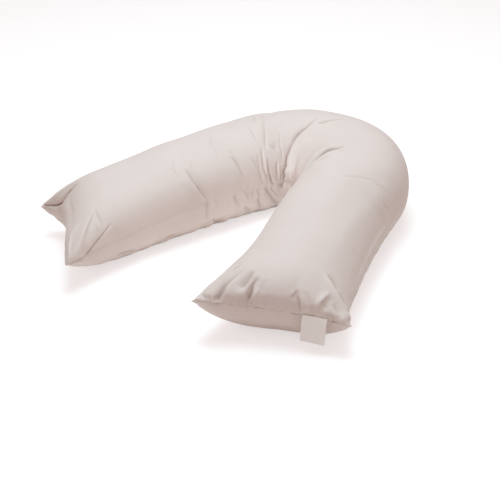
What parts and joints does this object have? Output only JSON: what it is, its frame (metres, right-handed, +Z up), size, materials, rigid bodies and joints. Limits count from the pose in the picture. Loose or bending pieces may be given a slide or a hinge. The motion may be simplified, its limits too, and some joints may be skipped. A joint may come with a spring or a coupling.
{
  "type": "v-shaped pillow",
  "caption": "Filled v-shaped bed pillow with a rounded bend, splayed arms, pointed ears at the open ends, soft folds at the inner corner and a small bare care label.",
  "frame": {"origin": "middle of the pillow's footprint, on the surface it lies on", "axes": "+Z up from that surface, +Y towards the bend, the V open towards -Y, +X towards the arm with the label"},
  "size_m": [0.9004, 0.9268, 0.21],
  "materials": {
    "pillow_cloth": "fine plain-weave cotton, soft sheen",
    "label_cloth": "smooth bare tape"
  },
  "bodies": {
    "root": {"pillow_body": "pillow_cloth", "care_label": "label_cloth"}
  },
  "joints": []
}
